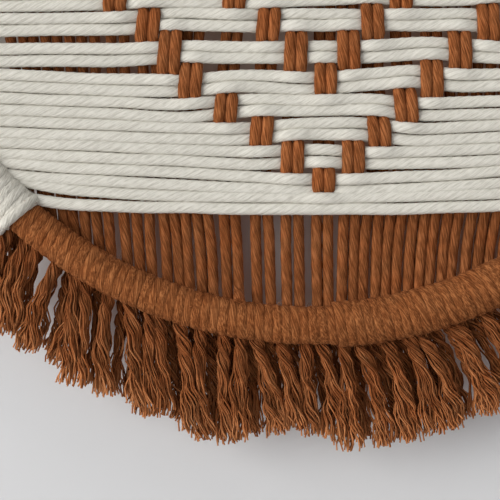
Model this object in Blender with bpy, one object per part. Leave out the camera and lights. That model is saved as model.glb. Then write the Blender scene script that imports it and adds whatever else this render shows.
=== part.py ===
"""A woven macrame wall hanging, tied on a round hoop that is wrapped in the same cord.

Metres, +Z up. The front faces -Y. The origin is at the inner top of the wrapped hoop, where a nail bears.
Cream weft pairs run across the hoop, rust warp pairs run up behind them, and short floats of the
warp come to the front and draw three diamonds inside one another. A rust fringe hangs under the hoop.
Angles round the hoop are measured from straight down, positive towards +X.
Angles round the hoop's section are measured from the side that faces the middle, positive towards +Y.
"""

import math
import random

import bmesh
import bpy

MM = 0.001
CLEAR = 0.35 * MM  # left between neighbouring pieces

# The hoop and the cord wrapped round it
HOOP_RADIUS = 122.0 * MM  # to the middle of the rod
ROD_RADIUS = 3.0 * MM
WRAP_HOLE = ROD_RADIUS + CLEAR
WRAP_CREST = 5.8 * MM  # section radius on a ridge
WRAP_VALLEY = 5.2 * MM  # section radius between two ridges
SECTION_SIDES = 8
CENTRE_Z = -(HOOP_RADIUS - WRAP_CREST)
RUST_HALF_ARC = math.radians(42.55)  # the rust wrapping, each side of straight down and straight up
SEAM = 0.5 * CLEAR / HOOP_RADIUS  # half the parting between two wrappings, as an angle
RUST_STEPS = 9  # straight stretches of the hoop under a rust wrapping
CREAM_STEPS = 10

# Depths: the weft lies in the middle, the warp behind it, the floats in front
WEFT_FRONT = -1.6 * MM
WEFT_BACK = 1.0 * MM
WARP_FRONT = WEFT_BACK + CLEAR
CORD_DEPTH = 2.6 * MM
WARP_BACK = WARP_FRONT + CORD_DEPTH
FLOAT_BACK = WEFT_FRONT - CLEAR
FLOAT_FRONT = FLOAT_BACK - CORD_DEPTH
GROOVE = 0.22  # how deep the groove between the two cords of a pair is, as a share of the depth

# The weft pairs: row, height below the middle at the centre, and at the hoop, in mm.
# The rows above the middle mirror these.
ROW_HEIGHTS = (
    (0, 0.0, 0.0),
    (1, 7.2, 7.3),
    (2, 14.5, 14.8),
    (3, 21.7, 22.2),
    (4, 28.9, 29.8),
    (5, 35.7, 37.1),
    (6, 45.0, 45.5),
    (7, 53.3, 52.4),
    (8, 60.1, 59.2),
    (9, 66.9, 65.7),
    (10, 74.4, 71.6),
    (11, 80.9, 77.2),
    (12, 87.3, 82.9),
)
LAST_ROW = 12
SLIT = 1.44 * MM  # the least opening between two rows, where the floats pass
PAIR_HALF_HEIGHT = 3.1 * MM  # two cords, where the rows leave room for them
INNER_STATION = 0.35  # where a pair bends, as a share of its half length
OUTER_STATION = 0.93

# The warp pairs: column, distance from the middle at 30 mm below it, at 70 mm, and at the hoop, in mm.
# The cords run the same way above the middle.
COLUMN_PLACES = (
    (-11, -85.0, -80.0, -75.2),
    (-10, -78.0, -75.0, -70.0),
    (-9, -71.0, -69.0, -64.6),
    (-8, -63.6, -62.0, -58.4),
    (-7, -55.2, -54.0, -51.2),
    (-6, -46.0, -45.5, -43.6),
    (-5, -39.6, -39.8, -36.9),
    (-4, -31.5, -35.0, -30.4),
    (-3, -20.4, -25.0, -23.1),
    (-2, -11.6, -14.2, -13.9),
    (-1, -3.7, -5.2, -5.1),
    (0, 4.3, 3.6, 3.4),
    (1, 9.4, 11.9, 10.5),
    (2, 16.6, 19.3, 17.1),
    (3, 25.2, 27.0, 23.2),
    (4, 34.4, 33.4, 29.4),
    (5, 42.6, 40.4, 36.1),
    (6, 50.8, 48.2, 42.6),
    (7, 58.5, 55.4, 49.2),
    (8, 65.8, 62.4, 55.7),
    (9, 73.0, 69.2, 62.2),
    (10, 80.0, 75.2, 68.8),
    (11, 86.0, 80.0, 75.2),
)
LAST_COLUMN = 11
UPPER_DEPTH = 30.0 * MM
LOWER_DEPTH = 70.0 * MM
WARP_HALF_WIDTH = 2.6 * MM
FLOAT_HALF_WIDTH = 3.1 * MM
FOOT_RISE = 5.0 * MM  # a strand has its full shape this far from the hoop
DIAMONDS = (3, 7, 11)  # a float lies where row and column, both without sign, add up to one of these

# The fringe: a strip just outside the hoop's wrapping, and two rows of locks
STRIP_INNER = HOOP_RADIUS + WRAP_CREST + CLEAR
STRIP_OUTER = STRIP_INNER + 1.4 * MM
STRIP_FRONT = -1.2 * MM
STRIP_MIDDLE = 1.2 * MM
STRIP_BACK = 3.6 * MM
STRIP_HALF_ARC = math.radians(42.0)
LOCKS_PER_ROW = 46
LOCK_LENGTH = 26.0 * MM
LENGTH_SPREAD = 2.2 * MM
LOCK_LEAN = 0.45  # a lock leans outwards by this share of its angle round the hoop
# Sections of a lock: share of its length, share of its root's width, its thickness and its middle's
# depth in the front row and in the back row, in mm.
LOCK_SECTIONS = (
    (0.30, 0.78, 2.0, -1.3, 2.7),
    (0.68, 0.84, 2.2, -2.2, 2.4),
    (1.00, 0.66, 1.6, -1.6, 2.9),
)

CREAM = (0.74, 0.70, 0.60)
RUST = (0.24, 0.085, 0.026)
WOOD = (0.55, 0.40, 0.24)


class Skin:
    """Gathers the points and faces of one closed solid."""

    def __init__(self):
        self.points = []
        self.faces = []

    def loop(self, places):
        """Adds points and gives their numbers."""
        first = len(self.points)
        self.points.extend(places)
        return list(range(first, len(self.points)))

    def band(self, start, end, open_side=None):
        """Joins two loops with a ring of faces, leaving one side out where a strand starts."""
        count = len(start)
        for side in range(count):
            if side != open_side:
                after = (side + 1) % count
                self.faces.append((start[side], start[after], end[after], end[side]))

    def tube(self, loops):
        for start, end in zip(loops, loops[1:]):
            self.band(start, end)

    def cap(self, loop):
        self.faces.append(tuple(loop))

    def finish(self, name, material):
        """Makes the object, with its faces turned outwards."""
        mesh = bpy.data.meshes.new(name)
        mesh.from_pydata(self.points, [], self.faces)
        work = bmesh.new()
        work.from_mesh(mesh)
        bmesh.ops.triangulate(work, faces=work.faces)
        bmesh.ops.recalc_face_normals(work, faces=work.faces)
        work.to_mesh(mesh)
        work.free()
        mesh.materials.append(material)
        item = bpy.data.objects.new(name, mesh)
        bpy.context.scene.collection.objects.link(item)
        return item


def make_material(name, colour, roughness):
    material = bpy.data.materials.new(name)
    material.use_nodes = True
    shader = material.node_tree.nodes["Principled BSDF"]
    shader.inputs["Base Color"].default_value = (*colour, 1.0)
    shader.inputs["Roughness"].default_value = roughness
    shader.inputs["Metallic"].default_value = 0.0
    return material


def hoop_point(angle, section_angle, radius):
    """A point on the hoop's section at an angle round the hoop."""
    reach = HOOP_RADIUS - radius * math.cos(section_angle)
    return (
        reach * math.sin(angle),
        radius * math.sin(section_angle),
        CENTRE_Z - reach * math.cos(angle),
    )


def even_section(angle, radius):
    """A regular section, for the rod and the hole round it."""
    turn = 2 * math.pi / SECTION_SIDES
    return [hoop_point(angle, side * turn, radius) for side in range(SECTION_SIDES)]


def spread(start, end, steps):
    return [start + (end - start) * step / steps for step in range(steps + 1)]


# The rod

def rod_angles():
    """The corners of the rod, which the holes of the wrappings share."""
    corners = []
    for centre, half_arc, steps in (
        (0.0, RUST_HALF_ARC, RUST_STEPS),
        (0.5 * math.pi, 0.5 * math.pi - RUST_HALF_ARC, CREAM_STEPS),
        (math.pi, RUST_HALF_ARC, RUST_STEPS),
        (1.5 * math.pi, 0.5 * math.pi - RUST_HALF_ARC, CREAM_STEPS),
    ):
        corners.extend(spread(centre - half_arc, centre + half_arc, steps)[:-1])
    return corners


def make_hoop(material):
    rod = Skin()
    loops = [rod.loop(even_section(angle, ROD_RADIUS)) for angle in rod_angles()]
    rod.tube(loops + loops[:1])
    return rod.finish("hoop", material)


# The wrappings

def wrap_section(angle, radius, door):
    """A section of a wrapping. Its first side, the door, is where the strands come out."""
    turn = (2 * math.pi - (door[1] - door[0])) / (SECTION_SIDES - 1)
    corners = [door[0]] + [door[1] + side * turn for side in range(SECTION_SIDES - 1)]
    return [hoop_point(angle, corner, radius) for corner in corners]


def door_angles(front, back):
    """The section angles between which a strand of these depths leaves the wrapping."""
    return math.asin(front / WRAP_CREST), math.asin(back / WRAP_CREST)


def add_wrapping(skin, start, end, crests, door, steps):
    """Lays a ridged wrapping from one angle to another and gives the loop at each ridge's door.

    Each ridge is where one pair of cords joins, and the valleys lie half-way between the ridges.
    """
    halfway = [0.5 * (near + far) for near, far in zip(crests, crests[1:])]
    valleys = [start] + halfway + [end]
    low = [skin.loop(wrap_section(angle, WRAP_VALLEY, door)) for angle in valleys]
    high = [skin.loop(wrap_section(angle, WRAP_CREST, door)) for angle in crests]
    doors = []
    for near, ridge, far in zip(low, high, low[1:]):
        skin.band(near, ridge, open_side=0)
        skin.band(ridge, far, open_side=0)
        doors.append([near[0], ridge[0], far[0], far[1], ridge[1], near[1]])
    hole = [skin.loop(even_section(angle, WRAP_HOLE)) for angle in spread(start, end, steps)]
    skin.tube(hole)
    skin.band(low[0], hole[0])
    skin.band(low[-1], hole[-1])
    return doors


# The weft

def row_ends():
    """Each row's height at the centre and at the hoop, from the top row to the bottom one."""
    heights = {}
    for row, middle, end in ROW_HEIGHTS:
        heights[row] = (-middle * MM, -end * MM)
        heights[-row] = (middle * MM, end * MM)
    return heights


ROWS = row_ends()


def row_half_height(row):
    """Half the height of a pair: as much as the nearer of its neighbours leaves free."""
    near = min(
        abs(ROWS[row][0] - ROWS[other][0]) for other in (row - 1, row + 1) if other in ROWS
    )
    return min(PAIR_HALF_HEIGHT, 0.5 * (near - SLIT))


def row_half_length(row):
    """Half the length of a row, from the centre to the inside of the wrapping."""
    inner = HOOP_RADIUS - WRAP_CREST
    return math.sqrt(inner**2 - ROWS[row][1] ** 2)


def row_height(row, x):
    """The height of a row's middle, with straight stretches between the weft's stations."""
    middle, end = ROWS[row]
    share = min(1.0, abs(x) / row_half_length(row))
    stops = ((INNER_STATION, OUTER_STATION), (OUTER_STATION, 1.0))
    bend = INNER_STATION**2
    for near, far in stops:
        if share > near:
            part = min(1.0, (share - near) / (far - near))
            bend = near**2 + part * (far**2 - near**2)
    return middle + (end - middle) * bend


def weft_section(row, x):
    """Two cords, one above the other, with a groove between them."""
    height = CENTRE_Z + row_height(row, x)
    inset = GROOVE * (WEFT_BACK - WEFT_FRONT)
    top = height + row_half_height(row)
    bottom = height - row_half_height(row)
    return [
        (x, WEFT_FRONT, top),
        (x, WEFT_FRONT + inset, height),
        (x, WEFT_FRONT, bottom),
        (x, WEFT_BACK, bottom),
        (x, WEFT_BACK - inset, height),
        (x, WEFT_BACK, top),
    ]


def make_weft(material):
    weft = Skin()
    rows = range(-LAST_ROW, LAST_ROW + 1)
    inner = HOOP_RADIUS - WRAP_CREST
    door = door_angles(WEFT_FRONT, WEFT_BACK)
    crests = [math.pi - math.acos(ROWS[row][1] / inner) for row in rows]
    first = math.pi - RUST_HALF_ARC - SEAM
    last = RUST_HALF_ARC + SEAM
    right = add_wrapping(weft, first, last, crests, door, CREAM_STEPS)
    left = add_wrapping(weft, -first, -last, [-angle for angle in crests], door, CREAM_STEPS)
    for row, start, end in zip(rows, left, right):
        length = row_half_length(row)
        stations = (-OUTER_STATION, -INNER_STATION, INNER_STATION, OUTER_STATION)
        sections = [weft.loop(weft_section(row, share * length)) for share in stations]
        weft.tube([start] + sections + [end])
    return weft.finish("weft", material)


# The warp

def column_place(column, depth):
    """How far to the side a warp pair is, at a height above or below the middle."""
    upper, lower, foot = [place * MM for place in COLUMN_PLACES[column + LAST_COLUMN][1:]]
    down = abs(depth)
    if down <= UPPER_DEPTH:
        return upper
    if down <= LOWER_DEPTH:
        return upper + (lower - upper) * (down - UPPER_DEPTH) / (LOWER_DEPTH - UPPER_DEPTH)
    foot_depth = math.sqrt((HOOP_RADIUS - WRAP_CREST) ** 2 - foot**2)
    share = min(1.0, (down - LOWER_DEPTH) / (foot_depth - LOWER_DEPTH))
    return lower + (foot - lower) * share


def warp_section(x, half_width, front, back):
    """Two cords side by side with a groove between them; front and back are (depth, height)."""
    front_groove = [f + (b - f) * GROOVE for f, b in zip(front, back)]
    back_groove = [b + (f - b) * GROOVE for f, b in zip(front, back)]
    return [
        (x - half_width, *front),
        (x, *front_groove),
        (x + half_width, *front),
        (x + half_width, *back),
        (x, *back_groove),
        (x - half_width, *back),
    ]


def slit(upper_row, x):
    """The top and bottom of a neck that passes between a row and the next one down."""
    lower_row = upper_row + 1
    top = CENTRE_Z + row_height(upper_row, x) - row_half_height(upper_row) - CLEAR
    bottom = CENTRE_Z + row_height(lower_row, x) + row_half_height(lower_row) + CLEAR
    return top, bottom


def float_sections(column, row):
    """A warp pair comes through the slit over a row, passes in front of the row and goes back."""
    x = column_place(column, ROWS[row][0])
    top, bottom = slit(row - 1, x)
    lower_top, lower_bottom = slit(row, x)
    return [
        warp_section(x, FLOAT_HALF_WIDTH, (WARP_FRONT, top), (WARP_BACK, bottom)),
        warp_section(x, FLOAT_HALF_WIDTH, (FLOAT_FRONT, top), (FLOAT_BACK, bottom)),
        warp_section(x, FLOAT_HALF_WIDTH, (FLOAT_FRONT, lower_bottom), (FLOAT_BACK, lower_top)),
        warp_section(x, FLOAT_HALF_WIDTH, (WARP_FRONT, lower_bottom), (WARP_BACK, lower_top)),
    ]


def strand_end(column, depth):
    """The strand's plain section at a height above or below the middle."""
    x = column_place(column, depth)
    height = CENTRE_Z + depth
    return warp_section(x, WARP_HALF_WIDTH, (WARP_FRONT, height), (WARP_BACK, height))


def make_warp(material):
    warp = Skin()
    inner = HOOP_RADIUS - WRAP_CREST
    door = door_angles(WARP_FRONT, WARP_BACK)
    feet = [foot * MM for _, _, _, foot in COLUMN_PLACES]
    crests = [math.asin(foot / inner) for foot in feet]
    edge = RUST_HALF_ARC - SEAM
    bottom = add_wrapping(warp, -edge, edge, crests, door, RUST_STEPS)
    over = [math.pi - angle for angle in crests]
    top = add_wrapping(warp, math.pi + edge, math.pi - edge, over, door, RUST_STEPS)
    for (column, _, _, foot), start, end in zip(COLUMN_PLACES, top, bottom):
        reach = math.sqrt(inner**2 - (foot * MM) ** 2) - FOOT_RISE
        sections = [strand_end(column, reach)]
        for row in range(-LAST_ROW, LAST_ROW + 1):
            if abs(row) + abs(column) in DIAMONDS:
                sections.extend(float_sections(column, row))
        sections.append(strand_end(column, -reach))
        warp.tube([start] + [warp.loop(section) for section in sections] + [end])
    return warp.finish("warp", material)


# The fringe

def strip_point(angle, reach, depth):
    return (reach * math.sin(angle), depth, CENTRE_Z - reach * math.cos(angle))


def lock_loops(skin, near, far, length, row):
    """The sections of one lock, whose root lies between two angles; row 0 is the front one."""
    angle = 0.5 * (near + far)
    lean = LOCK_LEAN * angle
    root = strip_point(angle, STRIP_OUTER, 0.0)
    half_root = 0.5 * STRIP_OUTER * (far - near)
    loops = []
    for share, width_share, thickness, *depths in LOCK_SECTIONS:
        run = share * length
        x = root[0] + run * math.sin(lean)
        z = root[2] - run * math.cos(lean)
        across = half_root * width_share
        side_x = across * math.cos(lean)
        side_z = across * math.sin(lean)
        front = (depths[row] - 0.5 * thickness) * MM
        back = (depths[row] + 0.5 * thickness) * MM
        left = (x - side_x, z - side_z)
        right = (x + side_x, z + side_z)
        corners = ((left, front), (right, front), (right, back), (left, back))
        loops.append(skin.loop([(px, depth, pz) for (px, pz), depth in corners]))
    return loops


def make_fringe(material):
    fringe = Skin()
    chance = random.Random(7)
    angles = spread(-STRIP_HALF_ARC, STRIP_HALF_ARC, LOCKS_PER_ROW)
    edges = []
    for angle in angles:
        section = (
            (STRIP_OUTER, STRIP_FRONT),
            (STRIP_OUTER, STRIP_MIDDLE),
            (STRIP_OUTER, STRIP_BACK),
            (STRIP_INNER, STRIP_BACK),
            (STRIP_INNER, STRIP_FRONT),
        )
        edges.append(fringe.loop([strip_point(angle, reach, depth) for reach, depth in section]))
    for index, (near, far) in enumerate(zip(edges, edges[1:])):
        for side, after in ((2, 3), (3, 4), (4, 0)):
            fringe.faces.append((near[side], near[after], far[after], far[side]))
        for row in (0, 1):
            length = LOCK_LENGTH + chance.uniform(-LENGTH_SPREAD, LENGTH_SPREAD)
            loops = lock_loops(fringe, angles[index], angles[index + 1], length, row)
            root = [near[row], far[row], far[row + 1], near[row + 1]]
            fringe.tube([root] + loops)
            fringe.cap(loops[-1])
    fringe.cap(edges[0])
    fringe.cap(edges[-1])
    return fringe.finish("fringe", material)


def main():
    for item in list(bpy.data.objects):
        bpy.data.objects.remove(item)
    cream = make_material("cream_cotton_cord", CREAM, 0.9)
    rust = make_material("rust_cotton_cord", RUST, 0.9)
    wood = make_material("bare_hoop", WOOD, 0.6)
    make_hoop(wood)
    make_weft(cream)
    make_warp(rust)
    make_fringe(rust)


main()
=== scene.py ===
# %% [markdown]
# # A woven wall hanging on a wrapped hoop
# A wooden hoop is wound with cotton cord, rust at the top and bottom and cream at the sides.
# Pairs of rust cord hang across it, pairs of cream cord are woven over them, and the rust pairs
# come to the front now and then, which draws nested diamonds. A fringe of opened cord hangs
# from the bottom arc. This notebook dresses the plain solids with every one of those cords.

# %% Load the plain model
import math
import random

import bpy
import numpy as np
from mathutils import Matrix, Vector


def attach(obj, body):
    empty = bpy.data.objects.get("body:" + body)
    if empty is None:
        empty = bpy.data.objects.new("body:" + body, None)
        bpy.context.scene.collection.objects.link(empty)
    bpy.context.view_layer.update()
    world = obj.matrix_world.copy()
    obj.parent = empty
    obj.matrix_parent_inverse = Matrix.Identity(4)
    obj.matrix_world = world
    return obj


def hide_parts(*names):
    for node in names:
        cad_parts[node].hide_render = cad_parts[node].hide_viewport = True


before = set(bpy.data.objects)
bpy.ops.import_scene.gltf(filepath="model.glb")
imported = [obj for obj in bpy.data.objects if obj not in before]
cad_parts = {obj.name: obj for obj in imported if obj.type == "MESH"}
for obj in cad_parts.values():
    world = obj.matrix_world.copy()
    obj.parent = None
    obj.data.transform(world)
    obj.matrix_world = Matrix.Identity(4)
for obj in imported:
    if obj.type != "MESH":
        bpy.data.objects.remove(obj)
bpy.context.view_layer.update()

# %% [markdown]
# ## The sizes that rule everything
# The hoop's own middle is the natural centre to measure from, so each place on the cloth is
# given as a distance across and a distance below that middle, both in millimetres. The front
# of the cloth looks towards -Y, and the wall stands behind it.

# %% Sizes in millimetres
MM = 0.001
HOOP_RADIUS = 122.0
WRAP_RADIUS = 5.8
HOOP_MIDDLE = -(HOOP_RADIUS - WRAP_RADIUS)
CORD_WIDTH = 3.4
CORD_LAY = 17.0
CORD_RIDGES = 6
RUST_HALF_ARC = 42.55
WEFT_DEPTH = -0.9
WARP_DEPTH = 2.7
FLOAT_DEPTH = -2.25
CLOTH_EDGE_RADIUS = 119.0


def place(across, below, depth):
    """The point of the scene, in metres, for a place on the cloth in millimetres."""
    return Vector((across * MM, depth * MM, (HOOP_MIDDLE - below) * MM))


print("hoop middle at", tuple(round(c, 4) for c in place(0, 0, 0)))

# %% [markdown]
# ## The camera
# The picture is taken straight on and close, so it holds only the lower part of the hanging.
# A long lens keeps the cords parallel.

# %% The camera
PICTURE_WIDTH = 141.5
PICTURE_MIDDLE_ACROSS = -17.3
PICTURE_MIDDLE_BELOW = 100.7
LENS = 100.0
SENSOR = 36.0
scene = bpy.context.scene


def in_scene(name, data):
    """A new object of the scene that holds the data."""
    thing = bpy.data.objects.new(name, data)
    scene.collection.objects.link(thing)
    return thing


camera_data = bpy.data.cameras.new("camera")
camera_data.lens = LENS
camera_data.sensor_width = SENSOR
camera = in_scene("camera", camera_data)
camera.location = place(PICTURE_MIDDLE_ACROSS, PICTURE_MIDDLE_BELOW, -PICTURE_WIDTH * LENS / SENSOR)
camera.rotation_euler = (math.radians(90), 0, 0)
scene.camera = camera
print("camera stands", round(-camera.location.y, 3), "m in front")

# %% [markdown]
# ## A short hand for node trees
# Geometry Nodes and shader nodes are both trees of small sums. Written node by node they fill
# pages, so a small class stands for one value in a tree and understands Python's own signs:
# `a + b * 2` adds the two nodes and joins them. The trees stay ordinary trees, with named
# inputs that can be changed in Blender's own editor.


# %% A value in a node tree
class Value:
    """One value in a tree. Sums with it add nodes."""

    def __init__(self, tree, socket):
        self.tree = tree
        self.socket = socket

    def __add__(self, other):
        return self.tree.sum("ADD", self, other)

    def __sub__(self, other):
        return self.tree.sum("SUBTRACT", self, other)

    def __rsub__(self, other):
        return self.tree.sum("SUBTRACT", other, self)

    def __mul__(self, other):
        return self.tree.sum("MULTIPLY", self, other)

    def __truediv__(self, other):
        return self.tree.sum("DIVIDE", self, other)

    def __rtruediv__(self, other):
        return self.tree.sum("DIVIDE", other, self)

    __radd__ = __add__
    __rmul__ = __mul__

    def output(self, name):
        """Another output of the node that gives this value."""
        return Value(self.tree, self.socket.node.outputs[name])


print("a value in a tree can be added, taken away, multiplied and divided")

# %% A tree that is being built
NOTE_KINDS = {"VECTOR": "FLOAT_VECTOR", "INT": "INT"}


class Tree:
    """A tree being built, in Geometry Nodes or in a material."""

    def __init__(self, nodes_and_links):
        self.base = nodes_and_links

    def add(self, kind, output=0, settings=None, **inputs):
        """Adds a node, sets or joins its inputs by name, and gives one of its outputs."""
        node = self.base.nodes.new(kind)
        for name, value in (settings or {}).items():
            setattr(node, name, value)
        for name, value in inputs.items():
            self.join(node, name.replace("__", " "), value)
        return Value(self, node.outputs[output])

    def join(self, node, name, value):
        """Puts a value into the input that has this name or identifier."""
        found = [s for s in node.inputs if name in (s.name, s.identifier) and s.enabled]
        self.put(value, found[0])

    def put(self, value, socket):
        """Joins a tree's value by a link, and writes down a plain one."""
        if isinstance(value, Value):
            self.base.links.new(value.socket, socket)
        else:
            socket.default_value = value

    def sum(self, operation, *values):
        """Adds one sum, of vectors if one of its values is a vector."""
        kinds = [v.socket.type if isinstance(v, Value) else None for v in values]
        vectors = "VECTOR" in kinds or "RGBA" in kinds
        scaled = vectors and operation == "MULTIPLY" and kinds[1] in ("VALUE", None)
        node = self.base.nodes.new("ShaderNodeVectorMath" if vectors else "ShaderNodeMath")
        node.operation = "SCALE" if scaled else operation
        sockets = (node.inputs[0], node.inputs["Scale"]) if scaled else node.inputs
        for value, socket in zip(values, sockets):
            self.put(value, socket)
        return Value(self, node.outputs[0])

    def sin(self, angle):
        return self.sum("SINE", angle)

    def cos(self, angle):
        return self.sum("COSINE", angle)

    def vector(self, x, y, z):
        return self.add("ShaderNodeCombineXYZ", X=x, Y=y, Z=z)

    def axis(self, vector, name):
        """One of a vector's three numbers, by the name of its axis."""
        return self.add("ShaderNodeSeparateXYZ", name, Vector=vector)

    def place(self):
        return self.add("GeometryNodeInputPosition")

    def spline(self, name):
        """The Factor, Length or Index of a point on its curve."""
        return self.add("GeometryNodeSplineParameter", name)

    def move(self, geometry, **where):
        """Moves each point to a Position, or by an Offset."""
        return self.add("GeometryNodeSetPosition", Geometry=geometry, **where)

    def fade(self, value, low, high, start=0.0, end=1.0):
        """Goes smoothly from start to end while the value goes from low to high."""
        node = self.base.nodes.new("ShaderNodeMapRange")
        node.interpolation_type = "SMOOTHSTEP"
        for given, socket in zip((value, low, high, start, end), node.inputs):
            self.put(given, socket)
        return Value(self, node.outputs[0])

    def mix(self, share, first, second):
        """A colour between two, the second where the share is 1."""
        return self.add("ShaderNodeMix", 2, {"data_type": "RGBA"}, Factor_Float=share,
                        A_Color=(*first, 1), B_Color=(*second, 1))

    def noise(self, where, scale=1.0, detail=1.0):
        """Smooth noise between 0 and 1 at a place."""
        return self.add("ShaderNodeTexNoise", Vector=where, Scale=scale, Detail=detail)

    def drift(self, where):
        """A smooth random step at a place, about as often one way as the other."""
        return self.noise(where).output(1) - (0.5, 0.5, 0.5)

    def chance(self, low, high, number, seed):
        """A random value that stays the same for the same whole number."""
        return self.add("FunctionNodeRandomValue", 1, {"data_type": "FLOAT"},
                        Min_001=low, Max_001=high, ID=number, Seed=seed)

    def note(self, geometry, name, value, domain="POINT"):
        """Writes a value on the geometry, under a name that later nodes and materials read."""
        kind = NOTE_KINDS.get(value.socket.type, "FLOAT") if isinstance(value, Value) else "FLOAT"
        return self.add("GeometryNodeStoreNamedAttribute", 0, {"data_type": kind, "domain": domain},
                        Geometry=geometry, Name=name, Value=value)

    def noted(self, name, kind="FLOAT"):
        return self.add("GeometryNodeInputNamedAttribute", 0, {"data_type": kind}, Name=name)


print("trees can note", len(NOTE_KINDS) + 1, "kinds of value")

# %% Geometry Nodes trees, from their inputs to a plain mesh
SOCKET_KINDS = {float: "NodeSocketFloat", int: "NodeSocketInt", type(None): "NodeSocketMaterial"}


def geometry_tree(name, **inputs):
    """A new Geometry Nodes tree with named inputs and their usual values; None is a material."""
    group = bpy.data.node_groups.new(name, "GeometryNodeTree")
    group.interface.new_socket("Geometry", in_out="INPUT", socket_type="NodeSocketGeometry")
    for label, value in inputs.items():
        socket = group.interface.new_socket(
            label.replace("_", " "), in_out="INPUT", socket_type=SOCKET_KINDS[type(value)]
        )
        if value is not None:
            socket.default_value = value
    group.interface.new_socket("Geometry", in_out="OUTPUT", socket_type="NodeSocketGeometry")
    tree = Tree(group)
    given = group.nodes.new("NodeGroupInput")
    tree.given = {s.name: Value(tree, s) for s in given.outputs if s.name}
    return tree


def end_tree(tree, geometry):
    """Ends a tree as real faces that carry the tree's own material."""
    real = tree.add("GeometryNodeRealizeInstances", Geometry=geometry)
    done = tree.add("GeometryNodeSetMaterial", Geometry=real, Material=tree.given["Material"])
    tree.join(tree.base.nodes.new("NodeGroupOutput"), "Geometry", done)
    return tree.base


def made_with(name, start, group, **inputs):
    """Runs a tree on a starting object and keeps what it gives as a plain mesh."""
    modifier = start.modifiers.new(group.name, "NODES")
    modifier.node_group = group
    sockets = {s.name: s.identifier for s in group.interface.items_tree if s.in_out == "INPUT"}
    for label, value in inputs.items():
        modifier[sockets[label.replace("_", " ")]] = value
    seen = start.evaluated_get(bpy.context.evaluated_depsgraph_get())
    mesh = bpy.data.meshes.new_from_object(seen)
    mesh.name = name
    bpy.data.objects.remove(start)
    piece = in_scene(name, mesh)
    print(name, sum(len(face.vertices) - 2 for face in mesh.polygons), "triangles")
    return piece


def guide_curves(name, lines):
    """An object of straight-sided curves, one for each line of points."""
    curve = bpy.data.curves.new(name, "CURVE")
    curve.dimensions = "3D"
    for line in lines:
        spline = curve.splines.new("POLY")
        spline.points.add(len(line) - 1)
        spline.points.foreach_set("co", [c for point in line for c in (*point, 1.0)])
    return in_scene(name, curve)


print("inputs of a tree are floats, whole numbers or a material:", len(SOCKET_KINDS), "kinds")

# %% [markdown]
# ## The light
# The real piece hangs on a pale wall in a bright room, lit softly from the left. A broad light
# stands there, weaker ones hang above and stand low on the right, where a pale floor would send
# light back, and the world gives an even pale light from all round. A warm one stands behind.
# The wall is seen from the front only and stops no light that comes from behind it, so that a
# view from behind still shows the cloth well lit. It stands a little behind the hoop, where it
# catches the soft shadows that show between the cords.

# %% Wall and floor
WALL_DEPTH = 16.0
FLOOR_BELOW = 900.0
ROOM_HALF = 4000
ROOM_TOP = -3000
PALE_GREY = (0.62, 0.625, 0.637)
UNEVEN_PAINT = 0.03


def plain_sheet(name, corners):
    mesh = bpy.data.meshes.new(name)
    mesh.from_pydata(corners, [], [(0, 1, 2, 3)])
    sheet = in_scene(name, mesh)
    return sheet


def corners_of(low, high):
    """The corners of an upright or lying sheet that is as wide as the room."""
    return (-ROOM_HALF, low), (ROOM_HALF, low), (ROOM_HALF, high), (-ROOM_HALF, high)


wall = plain_sheet("wall", [place(x, below, WALL_DEPTH) for x, below in corners_of(FLOOR_BELOW, ROOM_TOP)])
floor = plain_sheet("floor", [place(x, FLOOR_BELOW, y) for x, y in corners_of(-ROOM_HALF, ROOM_HALF)])
wall.visible_shadow = False


def new_material(name):
    """An empty material, and the tree that builds it."""
    material = bpy.data.materials.new(name)
    material.use_nodes = True
    tree = Tree(material.node_tree)
    tree.base.nodes.clear()
    return material, tree


def end_material(tree, shader):
    tree.join(tree.base.nodes.new("ShaderNodeOutputMaterial"), "Surface", shader)


def paint(name, colour, one_sided):
    """A matt wall paint with a faint unevenness, see-through from behind where one-sided."""
    material, tree = new_material(name)
    patches = tree.noise(tree.add("ShaderNodeTexCoord", "Object"), 5.0, 3.0)
    dark = [c * (1 - UNEVEN_PAINT) for c in colour]
    pale = [min(1, c * (1 + UNEVEN_PAINT)) for c in colour]
    shader = tree.add("ShaderNodeBsdfPrincipled", Base__Color=tree.mix(patches, dark, pale), Roughness=0.9)
    if one_sided:
        behind = tree.add("ShaderNodeNewGeometry", "Backfacing")
        clear = tree.add("ShaderNodeBsdfTransparent")
        shader = tree.add("ShaderNodeMixShader", Fac=behind, Shader=shader, Shader_001=clear)
    end_material(tree, shader)
    return material


wall.data.materials.append(paint("wall_paint", PALE_GREY, True))
floor.data.materials.append(paint("floor_paint", PALE_GREY, False))
print("wall", WALL_DEPTH, "mm behind the hoop's middle")

# %% Lamps and the light of the room
HANGING = (0, 0, -0.12)
ROOM_COLOUR = (0.84, 0.84, 0.85, 1)
ROOM_STRENGTH = 0.42


def soft_light(name, size, power, where, colour):
    """A square light that looks at the hanging."""
    data = bpy.data.lights.new(name, "AREA")
    data.shape = "SQUARE"
    data.size = size
    data.energy = power
    data.color = colour
    light = in_scene(name, data)
    light.location = where
    light.rotation_euler = (Vector(HANGING) - Vector(where)).to_track_quat("-Z", "Y").to_euler()


soft_light("window", 2.6, 112.0, (-2.6, -1.85, 0.15), (1.0, 0.985, 0.96))
soft_light("above", 0.9, 4.5, (0.1, -0.6, 1.2), (1.0, 0.99, 0.97))
soft_light("below", 1.6, 5.5, (0.9, -1.3, -1.2), (1.0, 0.98, 0.95))
soft_light("back_fill", 1.5, 18.0, (0.6, 1.5, 0.6), (1.0, 0.88, 0.77))
scene.world = bpy.data.worlds.new("room")
scene.world.use_nodes = True
room = scene.world.node_tree.nodes["Background"]
room.inputs["Color"].default_value = ROOM_COLOUR
room.inputs["Strength"].default_value = ROOM_STRENGTH
scene.view_settings.view_transform = "Standard"
print("lamps:", [lamp.name for lamp in bpy.data.lights])

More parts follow.
